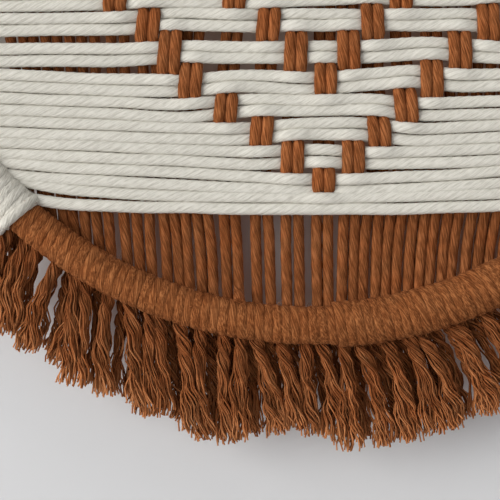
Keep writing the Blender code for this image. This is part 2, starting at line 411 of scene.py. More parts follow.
# %% [markdown]
# ## Cotton, in two colours
# The cord is spun cotton: plies laid together, each a bundle of soft fibres. Close up it is
# matt and slightly fuzzy, with fine fibres running along the plies. The material is painted
# paler on the crown of each ply and darker down in the grooves, which is painted shade. The
# trees below write four values on every cord: how far along it a point is, where round it the
# point lies, how high on a ply it sits, and a number for the cord itself. The material reads
# those, so that its fibres follow the cord.

# %% The cotton material
BLOTCHES_A_METRE = 420.0
DYE_PATCHES_A_METRE = 45.0
HUE_PATCHES_A_METRE = 170.0
PROUD_FROM = 1.5 * MM
FULLY_PROUD = -2.5 * MM
SMOOTHEST = 0.86
COTTON_GLOSS = 0.12


def cotton(name, groove, body, crown, fibre_length, fibre_width, bump, ply_share, worn,
           soft=0.2, hue=0.0, proud_painted_light=0.0):
    """A matt spun cotton. The colours go from the grooves to the crowns of the plies.

    ply_share is how much of the tone comes from the plies, and the rest comes from the fibres;
    the darker groove colour is painted shade down between the plies. A larger soft makes the
    step from a dark fibre to a pale one more gradual. worn makes the dye uneven, along a cord
    and from one cord to the next, and hue lets it run redder and yellower in patches. The last
    argument is painted light: it makes the cord paler where it stands proud, as if it caught
    more light than the cord that lies back.
    """
    material, tree = new_material(name)
    along, crest, own = [
        tree.add("ShaderNodeAttribute", "Fac", {"attribute_name": noted})
        for noted in ("along", "crest", "own")
    ]
    around = tree.add("ShaderNodeAttribute", "Vector", {"attribute_name": "around"})
    where = tree.add("ShaderNodeTexCoord", "Object")
    along_place = tree.vector(0.0, 0.0, along * (1.0 / fibre_length) + own * 37.0)
    streaks = tree.noise(around * (1.0 / fibre_width) + along_place, 1.0, 3.0)
    fibres = tree.fade(streaks, 0.5 - soft, 0.5 + soft)
    blotches = tree.noise(where, BLOTCHES_A_METRE, 3.0)
    dye = tree.noise(where, DYE_PATCHES_A_METRE, 2.0)
    # The step from the groove colour to the crown colour by crest is painted shade down in the grooves
    # between plies
    height = crest * ply_share + fibres * (1.0 - ply_share) + (blotches - 0.5) * 0.5
    ramp = tree.add("ShaderNodeValToRGB", Fac=height)
    stops = ramp.socket.node.color_ramp.elements
    stops[0].color = (*groove, 1)
    stops[1].color = (*crown, 1)
    stops.new(0.5).color = (*body, 1)
    # Painted light: the cord is painted paler where it stands proud towards the front, as if it caught more
    # light than the cord behind
    proud = tree.fade(tree.axis(where, "Y"), FULLY_PROUD, PROUD_FROM, 1.0, 0.0)
    shade = (dye - 0.5) * (worn * 1.5) + (own - 0.5) * worn + proud * proud_painted_light + 1.0
    patch = (tree.noise(where, HUE_PATCHES_A_METRE) - 0.5) * hue
    tint = tree.vector(shade, shade * (1.0 - patch), shade * (1.0 - patch * 2.0))
    shader = tree.add(
        "ShaderNodeBsdfPrincipled", Base__Color=tree.sum("MULTIPLY", ramp, tint),
        Roughness=tree.fade(fibres, 0.0, 1.0, 1.0, SMOOTHEST), Specular__IOR__Level=COTTON_GLOSS,
        Normal=tree.add("ShaderNodeBump", Height=fibres + blotches * 0.6, Strength=1.0, Distance=bump),
    )
    end_material(tree, shader)
    return material


def tone(red, green, blue):
    """A colour as a painter would name it, 0 to 255, turned into the light that it gives back."""
    parts = [c / 255 for c in (red, green, blue)]
    return tuple(p / 12.92 if p <= 0.04045 else ((p + 0.055) / 1.055) ** 2.4 for p in parts)


cream = cotton("cream_cotton", tone(184, 180, 170), tone(211, 208, 198), tone(223, 220, 211),
               2.4 * MM, 0.36 * MM, 0.12 * MM, 0.3, 0.04, 0.26)
# The wrapping's cream is the same cord painted a little darker than in the rows: painted shade, toning down
# the wrapping that faces the light
cream_wrapping = cotton("cream_wrapping", tone(176, 172, 161), tone(206, 202, 192), tone(218, 215, 205),
                        2.4 * MM, 0.36 * MM, 0.18 * MM, 0.25, 0.04)
rust = cotton("rust_cotton", tone(88, 46, 20), tone(127, 73, 38), tone(158, 97, 57),
              3.4 * MM, 0.27 * MM, 0.15 * MM, 0.15, 0.12, 0.18, 0.3, 0.19)
# The wrapping's rust is the same cord painted a little paler than in the pairs: painted light on the hoop's
# wrapping
wrap_rust = cotton("rust_wrapping", tone(92, 49, 22), tone(134, 78, 41), tone(171, 109, 64),
                   1.6 * MM, 0.32 * MM, 0.18 * MM, 0.15, 0.06, 0.2, 0.2)
# The yarn is the rust cord with a deeper groove colour and a paler crown, so with the crest from the fringe
# tree it carries painted shade near the hoop and painted light at the ends
rust_yarn = cotton("rust_yarn", tone(78, 40, 18), tone(137, 79, 42), tone(190, 126, 80),
                   5.0 * MM, 0.27 * MM, 0.08 * MM, 0.5, 0.2, 0.2, 0.3)
print("materials:", [m.name for m in (cream, cream_wrapping, rust, wrap_rust, rust_yarn)])

# %% [markdown]
# ## A laid cord that follows any path
# A sweep gives a cord its length, and a section that turns as it goes gives it the twist. The
# section has six low lobes, because this cord shows more fine ridges than it has plies.
# Making each ply as a tube of its own would need several times the faces and give a harder,
# rope-like look, while this soft cotton only shows shallow grooves. The path is first cut into
# even steps, then nudged by noise so that no two cords lie alike. Last, the cord is pressed
# flatter and boxier, as cords are that lie tight against each other.


# %% The laid cord tree
def crest_height(tree, angle, ridges):
    """1 on the crown of a ridge and 0 in the groove between two, round the section."""
    return tree.sum("ABSOLUTE", tree.cos(angle * (ridges / 2)))


def section(tree, points, radius, ridges, depth):
    """The section of a cord: a circle drawn in a little between its ridges."""
    circle = tree.add("GeometryNodeCurvePrimitiveCircle", Resolution=points, Radius=radius)
    turn = tree.spline("Index") * (1.0 / points) * math.tau
    crest = crest_height(tree, turn, ridges)
    shaped = tree.move(circle, Position=tree.place() * (1.0 - depth * (1.0 - crest)))
    noted = tree.note(shaped, "crest", crest)
    return tree.note(noted, "around", tree.place())


DRIFTS_A_METRE = 38.0
LUMPS_A_METRE = 190.0
IN_FRONT = -2.2 * MM
BEHIND = 1.2 * MM


def laid_cord_tree():
    tree = geometry_tree(
        "laid_cord",
        Cord_Radius=CORD_WIDTH * MM / 2, Lay=CORD_LAY * MM, Step=MM, Groove=0.07, Wander=0.5 * MM,
        Uneven=0.07, Flat=0.0, Flat_in_Front=0.0, Wide=0.0, Wide_in_Front=0.0, Square=0.0,
        Points=12, Seed=1, Material=None,
    )
    given = tree.given
    cords = tree.note(given["Geometry"], "number", tree.add("GeometryNodeInputIndex"), "CURVE")
    stepped = tree.add("GeometryNodeResampleCurve", 0, {"mode": "LENGTH"}, Curve=cords, Length=given["Step"])
    number = tree.noted("number", "INT")
    along = tree.spline("Length")
    where = tree.place()
    apart = tree.vector(number * 0.37, number * 0.61, 0.0)
    wandering = tree.drift(where * DRIFTS_A_METRE + apart) * given["Wander"] * 2.0
    moved = tree.move(stepped, Offset=wandering)
    thick = 1.0 + (tree.noise(where * LUMPS_A_METRE + apart) - 0.5) * given["Uneven"] * 2.0
    sized = tree.add("GeometryNodeSetCurveRadius", Curve=moved, Radius=thick)
    start = tree.chance(0.0, math.tau, number, given["Seed"])
    twist = along / given["Lay"] * -math.tau + start
    turned = tree.add("GeometryNodeSetCurveTilt", Curve=sized, Tilt=twist)
    noted = tree.note(turned, "along", along)
    noted = tree.note(noted, "middle", tree.place())
    noted = tree.note(noted, "own", tree.chance(0.0, 1.0, number, given["Seed"] + 7))
    profile = section(tree, given["Points"], given["Cord Radius"], CORD_RIDGES, given["Groove"])
    skin = tree.add("GeometryNodeCurveToMesh", Curve=noted, Profile__Curve=profile, Fill__Caps=True)
    middle = tree.noted("middle", "FLOAT_VECTOR")
    away = tree.place() - middle
    front = tree.fade(tree.axis(middle, "Y"), IN_FRONT, BEHIND, 1.0, 0.0)
    flat = given["Flat"] + given["Flat in Front"] * front
    wide = given["Wide"] + given["Wide in Front"] * front
    towards = tree.axis(tree.sum("NORMALIZE", away), "Y")
    boxy = (1.0 - towards * towards) * given["Square"]
    pressed = tree.sum("MULTIPLY", tree.vector(wide, boxy - flat, wide), away)
    skin = tree.move(skin, Offset=pressed)
    return end_tree(tree, tree.add("GeometryNodeSetShadeSmooth", Geometry=skin))


laid_cord = laid_cord_tree()
print("laid cord tree:", len(laid_cord.nodes), "nodes")

# %% [markdown]
# ## Where the rows of cream cord run
# The cream cord runs across in pairs, 25 rows of them. Hand weaving never keeps them level: a
# row dips or lifts by a few millimetres where a rust pair crosses it. The rows that can be
# studied closely are written down below, each by its height below the middle at ten places
# across. The lower rows nest tightly; higher up they stand apart and the rust shows between.

# %% The rows
ROWS = 12
ACROSS_PLACES = (-88, -71, -54, -37, -20, 0, 17, 31, 42, 53)
ROW_RUNS = {
    4: (30.4, 30.2, 29.6, 29.1, 29.5, 28.5, 28.0, 28.6, 28.6, 27.8),
    5: (37.2, 37.0, 36.6, 35.4, 36.0, 35.7, 35.6, 35.8, 35.7, 35.9),
    6: (45.7, 45.6, 45.7, 44.7, 44.9, 44.7, 44.6, 43.8, 44.1, 45.0),
    7: (52.9, 53.5, 54.1, 54.3, 53.1, 53.7, 52.5, 51.8, 53.0, 52.8),
    8: (59.6, 60.1, 60.8, 61.5, 59.8, 59.8, 59.8, 61.0, 60.8, 60.4),
    9: (66.0, 66.6, 67.2, 67.7, 67.9, 66.5, 66.8, 68.1, 67.7, 67.2),
    10: (72.0, 72.6, 73.3, 73.9, 74.7, 74.1, 74.7, 74.6, 74.3, 73.7),
    11: (78.4, 79.0, 79.9, 80.5, 81.4, 82.4, 82.2, 81.5, 80.9, 80.1),
    12: (84.6, 85.3, 86.4, 87.0, 87.5, 87.5, 87.4, 87.1, 86.7, 86.3),
}
ROW_AT_HOOP = (0, 7.3, 14.8, 22.2, 29.8, 37.1, 45.5, 52.4, 59.2, 65.7, 71.6, 77.2, 82.9)
ROW_AT_MIDDLE = (0, 7.2, 14.5, 21.7, 28.9, 35.7, 44.8, 53.3, 60.1, 66.9, 74.4, 82.0, 87.4)
DIAMONDS = (3, 7, 11)


def has_float(row, column):
    """True where the rust pair comes to the front and draws a step of a diamond."""
    return abs(row) + abs(column) in DIAMONDS


def smooth_run(at, places, heights):
    """A smooth line through a few heights, level at its ends."""
    slopes = np.gradient(heights, places)
    i = int(np.clip(np.searchsorted(places, at) - 1, 0, len(places) - 2))
    span = places[i + 1] - places[i]
    t = (at - places[i]) / span
    rise = (2 * t**3 - 3 * t**2 + 1) * heights[i] + (3 * t**2 - 2 * t**3) * heights[i + 1]
    bend = (t**3 - 2 * t**2 + t) * slopes[i] + (t**3 - t**2) * slopes[i + 1]
    return rise + bend * span


def row_end(row):
    """How far across the row reaches before it goes under the wrapping."""
    return math.sqrt(CLOTH_EDGE_RADIUS**2 - ROW_AT_HOOP[abs(row)] ** 2)


def row_height(row, across):
    """How far below the middle the row runs at a place across."""
    step = abs(row)
    end = row_end(row)
    if step in ROW_RUNS:
        inside = [(x, h) for x, h in zip(ACROSS_PLACES, ROW_RUNS[step]) if abs(x) < end - 8]
    else:
        inside = [(0, ROW_AT_MIDDLE[step])]
    places = [-end, *[x for x, h in inside], end]
    heights = [ROW_AT_HOOP[step], *[h for x, h in inside], ROW_AT_HOOP[step]]
    below = smooth_run(across, places, heights)
    return below if row >= 0 else -below


print("the bottom row runs", round(row_height(12, 0), 1), "mm below the middle")

# %% [markdown]
# ## Where the rust pairs hang
# The rust cord hangs in 23 pairs behind the cream rows. Each pair is pinched together where it
# comes to the front, and spreads again below the last row before it reaches the hoop. The
# places are not even either, so they are written down at six heights below the middle.

# %% The columns
COLUMNS = 11
BELOW_PLACES = (0, 30, 52, 70, 100, 116)
COLUMN_RUNS = {
    -11: (-87.0, -85.0, -82.0, -80.0, -76.6, -75.2), -10: (-79.5, -78.0, -76.4, -74.6, -71.1, -69.6),
    -9: (-72.0, -71.0, -69.8, -68.4, -65.2, -64.0), -8: (-64.4, -63.6, -63.0, -61.5, -58.6, -57.6),
    -7: (-56.0, -55.2, -54.6, -53.4, -50.7, -49.6), -6: (-47.2, -46.0, -45.8, -45.2, -43.4, -42.6),
    -5: (-41.2, -40.2, -39.9, -39.4, -36.5, -35.6), -4: (-32.6, -32.8, -34.2, -33.6, -29.9, -29.2),
    -3: (-21.2, -21.6, -23.6, -24.4, -22.6, -22.0), -2: (-11.4, -11.7, -13.0, -14.2, -13.7, -13.2),
    -1: (-3.8, -4.1, -4.5, -5.2, -5.2, -5.0), 0: (4.2, 4.0, 4.0, 3.7, 3.3, 3.4),
    1: (9.6, 10.4, 10.7, 11.8, 10.7, 10.4), 2: (16.8, 17.1, 17.8, 19.2, 17.0, 16.6),
    3: (25.0, 25.2, 26.2, 27.0, 23.2, 22.6), 4: (34.4, 34.4, 33.9, 33.4, 29.9, 29.0),
    5: (42.6, 42.2, 41.6, 40.4, 36.1, 35.2), 6: (50.8, 50.0, 49.4, 48.2, 42.6, 41.4),
    7: (58.5, 57.8, 56.8, 55.4, 49.5, 48.0), 8: (65.8, 65.2, 64.0, 62.4, 56.6, 55.2),
    9: (73.0, 72.4, 71.0, 69.2, 63.2, 61.8), 10: (80.0, 79.2, 77.4, 75.2, 69.6, 68.2),
    11: (86.0, 85.2, 82.8, 80.0, 75.8, 74.6),
}
PAIR_SPREAD = {-11: 2.9, -10: 2.9, -9: 3.0, -8: 3.2, -7: 3.5, -6: 4.4, -5: 2.8, -4: 3.2, -3: 3.2, -2: 3.9,
               -1: 3.6, 0: 3.2, 1: 3.2, 2: 3.7, 3: 3.0, 4: 3.2, 5: 3.4, 6: 3.9, 7: 3.0}
USUAL_SPREAD = 3.4
PAIR_HALF_HEIGHT = 1.62


def column_across(column, below):
    return smooth_run(min(abs(below), BELOW_PLACES[-1]), BELOW_PLACES, COLUMN_RUNS[column])


print("the middle pair hangs", column_across(0, 60), "mm across at 60 mm below")

# %% [markdown]
# ## The cream rows as curves
# A row is two cords side by side. Where a rust pair crosses in front, the cream pair gives way
# and lies a little deeper; next to a crossing, the cords bend away from it and come forward.
# The last row's cords lie further apart on the left. Each cord's ends go in under the wrapping
# of the hoop.

# %% The cream cords
ROW_STEP = 2.0
GIVE_WAY = 1.5
CROSSING_REACH = 4.2
BEND_AWAY = 0.1
COME_FORWARD = 1.1
LOOSENESS = 0.13
LOOSE_EVERY = 17
LOOSE_SHIFT = 2.1
LAST_ROW_OPENS = 0.55
LAST_ROW_OPEN_UP_TO = -86
LAST_ROW_CLOSES_WITHIN = 50
ROW_TUCK_WITHIN = 9
ROW_TUCK_DEPTH = 0.9


def crossings_near(row, across, below):
    """Adds up how near a place is to each rust float over a row: 1 on its middle, 0 far away."""
    columns = [column for column in range(-COLUMNS, COLUMNS + 1) if has_float(row, column)]
    return sum(
        math.exp(-(((across - column_across(column, below)) / CROSSING_REACH) ** 2)) for column in columns
    )


def row_line(row, side):
    """The middle line of the upper (-1) or lower (+1) cord of a row."""
    end = row_end(row)
    points = []
    for across in np.linspace(-end, end, int(2 * end / ROW_STEP) + 1):
        middle = row_height(row, across)
        crossed = crossings_near(row, across, middle)
        beside = crossings_near(row + side, across, middle)
        half = PAIR_HALF_HEIGHT
        half += LOOSENESS * max(0.0, math.sin(across / LOOSE_EVERY + LOOSE_SHIFT * row))
        if row == ROWS:
            closed = min(1, max(0, (across - LAST_ROW_OPEN_UP_TO) / LAST_ROW_CLOSES_WITHIN))
            half += LAST_ROW_OPENS * (1 - closed)
        below = middle + side * half - side * BEND_AWAY * beside
        depth = WEFT_DEPTH + GIVE_WAY * crossed - COME_FORWARD * min(1, beside)
        inward = max(0.0, (abs(across) - end + ROW_TUCK_WITHIN) / ROW_TUCK_WITHIN)
        points.append(place(across, below, depth + ROW_TUCK_DEPTH * inward))
    return points


CLOTH_HALVES = {"cream_rows_below": (range(0, ROWS + 1), 11), "cream_rows_above": (range(-ROWS, 0), 12)}
for name, (rows, seed) in CLOTH_HALVES.items():
    guides = guide_curves(name + "_lines", [row_line(row, side) for row in rows for side in (-1, 1)])
    made_with(name, guides, laid_cord, Step=1.05 * MM, Wander=0.46 * MM, Flat=0.14,
                           Wide=0.02, Square=0.42, Seed=seed, Material=cream)

# %% [markdown]
# ## The rust pairs as curves
# A rust cord comes out of the wrapping at the top, hangs down behind the cream rows, swings to
# the front over a row where a diamond passes, and goes into the wrapping at the bottom. The
# swing is a smooth step in depth on both sides of that row. One cord left of the middle meets
# the wrapping nearer its front, as in the photograph.

# %% The rust cords
WARP_STEP = 1.4
SWING_BEFORE = 2.0
SWING_AFTER = 2.4
EDGE_ABOVE = 3.65
EDGE_BELOW = 3.3
WARP_REACH = 121.0
FLOAT_HALF = 1.58
HIDDEN_HALF = 1.85
INNER_PAIRS = 5
FAN_LEFT = 0.022
FAN_RIGHT = 0.011
LAST_ROW_BELOW = 92.0
SPREADS_WITHIN = 8
WARP_TUCK_WITHIN = 7
WARP_TUCK_DEPTH = 1.2
LOOSE_END = (-3, 1)
LOOSE_END_DEPTH = -2.8
LOOSE_END_REACH = 117.6


def smooth_step(value, low, high):
    t = min(1.0, max(0.0, (value - low) / (high - low)))
    return t * t * (3 - 2 * t)


def crossings_of(column):
    """The rows that a rust pair crosses in front: each with its edges above and below."""
    found = []
    for row in range(1 - ROWS, ROWS):
        if has_float(row, column):
            above, middle, below = [
                row_height(r, column_across(column, ROW_AT_MIDDLE[abs(r)])) for r in (row - 1, row, row + 1)
            ]
            found.append((middle, middle - above - EDGE_ABOVE, below - middle - EDGE_BELOW))
    return found


def front_share(below, crossings):
    """1 where a rust pair lies in front and 0 where it hangs behind, and the place in the crossing."""
    share, offset = 0.0, 0.0
    for middle, edge_above, edge_below in crossings:
        edge = edge_above if below < middle else edge_below
        here = 1 - smooth_step(abs(below - middle), edge - SWING_BEFORE, edge + SWING_AFTER)
        if here > share:
            share, offset = here, below - middle
    return share, offset


def column_line(column, side):
    """The middle line of the left (-1) or right (+1) cord of a rust pair."""
    edge = math.sqrt(WARP_REACH**2 - column_across(column, BELOW_PLACES[-1]) ** 2)
    is_loose = (column, side) == LOOSE_END
    bottom = math.sqrt(LOOSE_END_REACH**2 - column_across(column, edge) ** 2) if is_loose else edge
    spread = PAIR_SPREAD.get(column, USUAL_SPREAD) / 2
    crossings = crossings_of(column)
    hidden_half = FLOAT_HALF if abs(column) < INNER_PAIRS else HIDDEN_HALF
    points = []
    for below in np.linspace(-edge, bottom, int(2 * edge / WARP_STEP) + 1):
        front, offset = front_share(below, crossings)
        loose = smooth_step(abs(below), LAST_ROW_BELOW - SPREADS_WITHIN, LAST_ROW_BELOW + SPREADS_WITHIN)
        half = hidden_half + (FLOAT_HALF - hidden_half) * front
        half = half * (1 - loose) + spread * loose
        depth = WARP_DEPTH + (FLOAT_DEPTH - WARP_DEPTH) * front
        tucked = smooth_step(abs(below), edge - WARP_TUCK_WITHIN, bottom if below > 0 else edge)
        fan = (FAN_LEFT if column < 0 else FAN_RIGHT) * column * math.copysign(1, below)
        across = column_across(column, below) + side * half + fan * offset * front
        end_depth = LOOSE_END_DEPTH if is_loose and below > 0 else WARP_TUCK_DEPTH
        points.append(place(across, below, depth * (1 - tucked) + end_depth * tucked))
    return points


columns = [column_line(c, side) for c in range(-COLUMNS, COLUMNS + 1) for side in (-1, 1)]
made_with("rust_pairs", guide_curves("columns", columns), laid_cord,
          Step=1.45 * MM, Groove=0.06, Wander=0.25 * MM, Lay=32.0 * MM, Cord_Radius=1.62 * MM,
          Flat_in_Front=0.2, Wide_in_Front=0.1, Square=0.2, Seed=21, Material=rust)

# %% [markdown]
# ## The wrapping of the hoop
# The same cord is wound round the wooden hoop, turn against turn. Pulled tight it flattens and
# its yarns show as fine lines across the hoop. A coil can be a formula: one angle goes round
# the hoop and another, much faster, goes round the section. The tree sets out even points,
# moves each to its place by that formula, and sweeps a flattened section along them, with four
# low ridges that twist as the cord does. Short loose fibres are scattered over its outside.


# %% The wrapping tree
def flat_section(tree, points):
    """The section of a flattened cord: round outside, flatter inside where it lies on the hoop."""
    ring = tree.add("GeometryNodeCurvePrimitiveCircle", Resolution=points, Radius=1.0)
    angle = tree.spline("Index") * (1.0 / points) * math.tau
    side = tree.sin(angle)
    outside = tree.fade(tree.cos(angle), -0.2, 0.05)
    high = ((1.0 - side * side * 0.4) * outside - (1.0 - outside) * 0.4) * tree.given["Thickness"]
    shaped = tree.move(ring, Position=tree.vector(high, side * tree.given["Width"], 0.0))
    return tree.note(shaped, "angle", angle)


FUZZ_BEGINS = 0.35
FIBRE_POINTS = 3
FIBRE_BEND = 0.4
FIBRE_TAPER = 0.7
FIBRE_THICKNESS = 0.03


def fuzz(tree, skin):
    """Short loose fibres on the outside of a cord, which lie any way and stand up a little."""
    number = tree.add("GeometryNodeInputIndex")
    outside = tree.sum("GREATER_THAN", tree.cos(tree.noted("angle")), FUZZ_BEGINS)
    points = tree.add("GeometryNodeDistributePointsOnFaces", Mesh=skin, Selection=outside,
                      Density=tree.given["Fuzz"], Seed=tree.given["Seed"])
    roots = tree.note(points, "own", tree.chance(0.0, 1.0, number, 9))
    lying = tree.vector(*[tree.chance(-1.0, 1.0, number, seed) for seed in (3, 4, 5)])
    heading = points.output("Normal") * tree.chance(0.05, 0.6, number, 6) + lying * 0.7
    line = tree.add("GeometryNodeCurvePrimitiveLine", End=(0.0, 0.0, 1.0))
    line = tree.add("GeometryNodeResampleCurve", 0, {"mode": "COUNT"}, Curve=line, Count=FIBRE_POINTS)
    part = tree.spline("Factor")
    bent = tree.move(line, Offset=tree.vector(part * part * FIBRE_BEND, 0.0, 0.0))
    thin = tree.add("GeometryNodeSetCurveRadius", Curve=bent, Radius=1.0 - part * FIBRE_TAPER)
    ring = tree.add("GeometryNodeCurvePrimitiveCircle", Resolution=3, Radius=FIBRE_THICKNESS)
    fibre = tree.add("GeometryNodeCurveToMesh", Curve=thin, Profile__Curve=ring)
    turned = tree.add("FunctionNodeAlignRotationToVector", 0, {"axis": "Z"}, Vector=heading)
    grown = tree.add("GeometryNodeInstanceOnPoints", Points=roots, Instance=fibre, Rotation=turned,
                     Scale=tree.chance(0.8, 1.9, number, 8) * MM)
    real = tree.add("GeometryNodeRealizeInstances", Geometry=grown)
    return tree.note(real, "crest", 0.6)


JOSTLE = 0.006
SLOW_CHANGE = 0.55
QUICK_CHANGE = 9.0
LAYER_EDGE = 0.008
WRAP_RIDGES = 4
FIBRE_RADIUS = 1.5 * MM


def wrapping_tree():
    tree = geometry_tree(
        "wrapping",
        Hoop_Radius=HOOP_RADIUS * MM, Hoop_Middle=HOOP_MIDDLE * MM, Coil_Radius=4.65 * MM,
        Start=0.0, End=1.0, Turns=74, Second_Layer=math.pi, Over=0.0, Points_a_Turn=26,
        Section_Points=12, Width=1.56 * MM, Thickness=1.1 * MM, Lay=26.0 * MM, Ridge=0.17 * MM,
        Rubbed=0.22 * MM, Uneven=0.07, Fuzz=160000.0, Seed=1, Material=None,
    )
    given = tree.given
    count = given["Turns"] * given["Points a Turn"]
    line = tree.add("GeometryNodeCurvePrimitiveLine")
    points = tree.add("GeometryNodeResampleCurve", 0, {"mode": "COUNT"}, Curve=line, Count=count)
    part = tree.spline("Index") / (count - 1.0)
    coil = part * given["Turns"] * math.tau
    turn = part * given["Turns"] + given["Seed"] * 3.7
    slow = tree.drift(tree.vector(turn * SLOW_CHANGE, 0.3, 0.1))
    quick = tree.noise(tree.vector(turn * QUICK_CHANGE, 0.5, 0.4)) - 0.5
    arc = given["Start"] + (given["End"] - given["Start"]) * part
    arc = arc + tree.axis(slow, "X") * JOSTLE + quick * JOSTLE
    second = given["Second Layer"]
    layer = tree.fade(arc, second - LAYER_EDGE, second + LAYER_EDGE, 0.0, given["Over"])
    reach = given["Coil Radius"] * (1.0 + tree.axis(slow, "Y") * given["Uneven"]) + layer
    sin_arc, cos_arc = tree.sin(arc), tree.cos(arc)
    sin_coil, cos_coil = tree.sin(coil), tree.cos(coil)
    out = given["Hoop Radius"] + reach * cos_coil
    spot = tree.vector(out * sin_arc, reach * sin_coil, given["Hoop Middle"] - out * cos_arc)
    away = tree.vector(cos_coil * sin_arc, sin_coil, 0.0 - cos_coil * cos_arc)
    wound = tree.move(points, Position=spot)
    faced = tree.add("GeometryNodeSetCurveNormal", 0, {"mode": "FREE"}, Curve=wound, Normal=away)
    fat = 1.0 + (tree.noise(tree.vector(turn * 1.3, 0.7, 0.2)) - 0.5) * given["Uneven"] * 3.0
    sized = tree.add("GeometryNodeSetCurveRadius", Curve=faced, Radius=fat)
    noted = tree.note(sized, "along", tree.spline("Length"))
    noted = tree.note(noted, "own", tree.noise(tree.vector(turn * 0.9, 0.1, 0.9)))
    profile = flat_section(tree, given["Section Points"])
    skin = tree.add("GeometryNodeCurveToMesh", Curve=noted, Profile__Curve=profile, Fill__Caps=True)
    twisted = tree.noted("angle") + tree.noted("along") / given["Lay"] * math.tau
    skin = tree.note(skin, "crest", crest_height(tree, twisted, WRAP_RIDGES))
    around = tree.vector(tree.cos(twisted), tree.sin(twisted), 0.0) * FIBRE_RADIUS
    skin = tree.note(skin, "around", around)
    lumps = (tree.noise(tree.place() * BLOTCHES_A_METRE, 1.0, 2.0) - 0.5) * given["Rubbed"]
    raised = lumps + (tree.noted("crest") - 1.0) * given["Ridge"]
    skin = tree.move(skin, Offset=tree.add("GeometryNodeInputNormal") * raised)
    smooth = tree.add("GeometryNodeSetShadeSmooth", Geometry=skin)
    both = tree.base.nodes.new("GeometryNodeJoinGeometry")
    for some in (smooth, fuzz(tree, smooth)):
        tree.put(some, both.inputs[0])
    return end_tree(tree, Value(tree, both.outputs[0]))


wrapping = wrapping_tree()
print("wrapping tree:", len(wrapping.nodes), "nodes")

# %% [markdown]
# Four arcs are wound with this tree. The cream ones are thicker. The bottom one has a second
# layer from a little right of its middle, which makes it thicker there, as in the photograph.

# %% The four arcs
TURN_PITCH = 2.55
THIN_COIL = 4.45 * MM
CREAM_COIL = 5.5 * MM
SECOND_LAYER = math.radians(3.2)
LAYER_HEIGHT = 1.15 * MM


def wrap_arc(name, start, end, material, seed, **sizes):
    """Winds one arc of the hoop, given in degrees from straight down."""
    empty = in_scene(name, bpy.data.meshes.new(name))
    turns = round(math.radians(end - start) * HOOP_RADIUS / TURN_PITCH)
    made_with(name, empty, wrapping, Start=math.radians(start), End=math.radians(end),
              Turns=turns, Seed=seed, Material=material, **sizes)


wrap_arc("rust_wrap_bottom", -RUST_HALF_ARC, RUST_HALF_ARC, wrap_rust, 1,
         Coil_Radius=THIN_COIL, Second_Layer=SECOND_LAYER, Over=LAYER_HEIGHT)
wrap_arc("cream_wrap_right", RUST_HALF_ARC, 180 - RUST_HALF_ARC, cream_wrapping, 2, Coil_Radius=CREAM_COIL)
wrap_arc("rust_wrap_top", 180 - RUST_HALF_ARC, 180 + RUST_HALF_ARC, wrap_rust, 3)
wrap_arc("cream_wrap_left", 180 + RUST_HALF_ARC, 360 - RUST_HALF_ARC, cream_wrapping, 4,
         Coil_Radius=CREAM_COIL)

# %% [markdown]
# Where the cream meets the rust, the last cream turn is a whole cord pulled over the join. It
# is thicker than the turns beside it and slants across the hoop, so it is made with the laid
# cord's own tree, on a guide of one full turn.

# %% The last cream turns
LAST_TURN_ACROSS = 6.6
LAST_TURN_DEEP = 5.6
LAST_TURN_OUTWARDS = 1.0
LAST_TURN_SLANT = 0.9
LAST_TURN_POINTS = 30
OVER_THE_JOIN = 0.1
JOINS = [side * end for end in (RUST_HALF_ARC - OVER_THE_JOIN, 180 - RUST_HALF_ARC + OVER_THE_JOIN)
         for side in (-1, 1)]


def last_turn(angle, slant):
    """One full turn of cord round the hoop at an angle from straight down, in degrees."""
    points = []
    for i in range(LAST_TURN_POINTS + 1):
        coil = math.tau * i / LAST_TURN_POINTS
        turn = math.radians(angle) + slant / HOOP_RADIUS * math.cos(coil)
        out = HOOP_RADIUS + LAST_TURN_OUTWARDS + LAST_TURN_ACROSS * math.cos(coil)
        points.append(place(out * math.sin(turn), out * math.cos(turn), LAST_TURN_DEEP * math.sin(coil)))
    return points


last_turns = [last_turn(angle, math.copysign(LAST_TURN_SLANT, angle)) for angle in JOINS]
made_with("cream_last_turns", guide_curves("last_turns", last_turns), laid_cord,
          Step=0.8 * MM, Groove=0.06, Wander=0.1 * MM, Cord_Radius=1.7 * MM, Seed=41, Material=cream_wrapping)

# %% [markdown]
# ## The fringe
# Short lengths of rust cord are tied round the bottom of the hoop, and their tails are opened
# by hand. A tail leaves the hoop as a laid cord, comes apart into its three plies, and each ply
# into wavy yarns that spread towards their opened, splaying ends. The yarns are painted darker
# near the hoop, which is painted shade, and paler towards their ends, which is painted light.
# One tree does this: it copies each guide once for every yarn and works out where that yarn
# lies in the tail, from the ply it belongs to and how far the tail has opened. Each random value
# is tied to the number of a tail, a ply or a yarn, so that the yarns of one ply wave together
# and a few of them stray.


# %% The opened tail tree
# The yarns' ends are painted paler from this far along: painted light
ENDS_PAINTED_FROM = 0.78
ENDS_PAINTED_PALER = 0.45
STRAY_SHARE = 0.95
STRAY_FURTHER = 1.8
DRIFT_AT_END = 1.3 * MM


